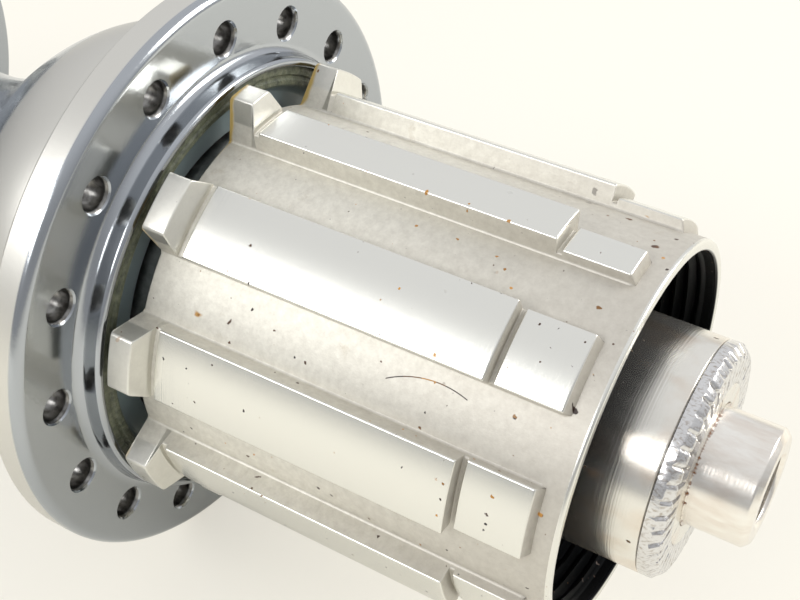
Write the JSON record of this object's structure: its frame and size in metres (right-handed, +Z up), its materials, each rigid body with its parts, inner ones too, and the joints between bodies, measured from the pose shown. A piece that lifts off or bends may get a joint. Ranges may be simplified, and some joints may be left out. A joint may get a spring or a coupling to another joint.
{
  "type": "bicycle rear hub",
  "caption": "Bicycle rear hub with a splined ratcheting freehub body, polished spoke flanges, cup-and-cone bearings and a hollow axle for a quick-release skewer.",
  "frame": {"origin": "on the axle line, midway between the two dropout faces", "axes": "+Y along the axle towards the left side, so the freehub is at -Y; +X forward on the bicycle; +Z up"},
  "size_m": [0.0528, 0.14, 0.0528],
  "materials": {
    "polished_alloy": "polished",
    "satin_alloy": "satin, worn",
    "plated_steel": "satin plated",
    "worn_steel": "worn bright",
    "bearing_steel": "ground",
    "black_rubber": "matte",
    "seal_rubber": "greasy",
    "grey_plastic": "matte"
  },
  "bodies": {
    "axle_assembly": {"axle": "plated_steel", "drive_cone": "bearing_steel", "drive_cone_seal": "black_rubber", "drive_lock_washer": "plated_steel", "drive_locknut": "satin_alloy", "drive_serrated_ring": "worn_steel", "left_cone": "bearing_steel", "left_cone_seal": "black_rubber", "left_lock_washer": "plated_steel", "left_locknut": "plated_steel", "left_serrated_ring": "worn_steel"},
    "hub": {"hub_shell": "polished_alloy", "left_bearing_cup": "bearing_steel", "left_dust_cap": "plated_steel", "grease_sleeve": "grey_plastic", "shell_seal": "seal_rubber", "freehub_core": "bearing_steel", "freehub_shim": "plated_steel", "freehub_bolt": "plated_steel", "drive_bearing_cup": "bearing_steel", "drive_dust_cap": "plated_steel", "pawl_ring_spring": "plated_steel"},
    "freehub": {"freehub_body": "satin_alloy", "freehub_ratchet_ring": "bearing_steel", "freehub_dust_shield": "plated_steel"},
    "pawl_1": {"pawl_1": "bearing_steel"},
    "pawl_2": {"pawl_2": "bearing_steel"},
    "drive_ball_row": {"drive_main_balls": "bearing_steel"},
    "left_ball_row": {"left_main_balls": "bearing_steel"},
    "freehub_inboard_row": {"freehub_inboard_balls": "bearing_steel"},
    "freehub_outboard_row": {"freehub_outboard_balls": "bearing_steel"}
  },
  "joints": [
    {"name": "hub_spin", "type": "hinge", "parent": "axle_assembly", "child": "hub", "pos_m": [0, 0, 0], "axis": [0, 1, 0], "continuous": true},
    {"name": "freehub_spin", "type": "hinge", "parent": "hub", "child": "freehub", "pos_m": [0, 0, 0], "axis": [0, 1, 0], "continuous": true},
    {"name": "pawl_1_hinge", "type": "hinge", "parent": "hub", "child": "pawl_1", "pos_m": [-0.00178, -0.0327, 0.01006], "axis": [0, 1, 0], "range_deg": [-9, 0], "stiffness_Nm_per_rad": 0.0004, "springref_deg": 57.3},
    {"name": "pawl_2_hinge", "type": "hinge", "parent": "hub", "child": "pawl_2", "pos_m": [0.00178, -0.0327, -0.01006], "axis": [0, 1, 0], "range_deg": [-9, 0], "stiffness_Nm_per_rad": 0.0004, "springref_deg": 57.3},
    {"name": "drive_ball_orbit", "type": "hinge", "parent": "axle_assembly", "child": "drive_ball_row", "pos_m": [0, 0, 0], "axis": [0, 1, 0], "continuous": true},
    {"name": "left_ball_orbit", "type": "hinge", "parent": "axle_assembly", "child": "left_ball_row", "pos_m": [0, 0, 0], "axis": [0, 1, 0], "continuous": true},
    {"name": "inboard_ball_orbit", "type": "hinge", "parent": "hub", "child": "freehub_inboard_row", "pos_m": [0, 0, 0], "axis": [0, 1, 0], "continuous": true},
    {"name": "outboard_ball_orbit", "type": "hinge", "parent": "hub", "child": "freehub_outboard_row", "pos_m": [0, 0, 0], "axis": [0, 1, 0], "continuous": true}
  ],
  "couplings": [
    {"joint": "drive_ball_orbit", "follows": "hub_spin", "ratio": 0.6182},
    {"joint": "left_ball_orbit", "follows": "hub_spin", "ratio": 0.6182},
    {"joint": "inboard_ball_orbit", "follows": "freehub_spin", "ratio": 0.5418},
    {"joint": "outboard_ball_orbit", "follows": "freehub_spin", "ratio": 0.5418}
  ]
}
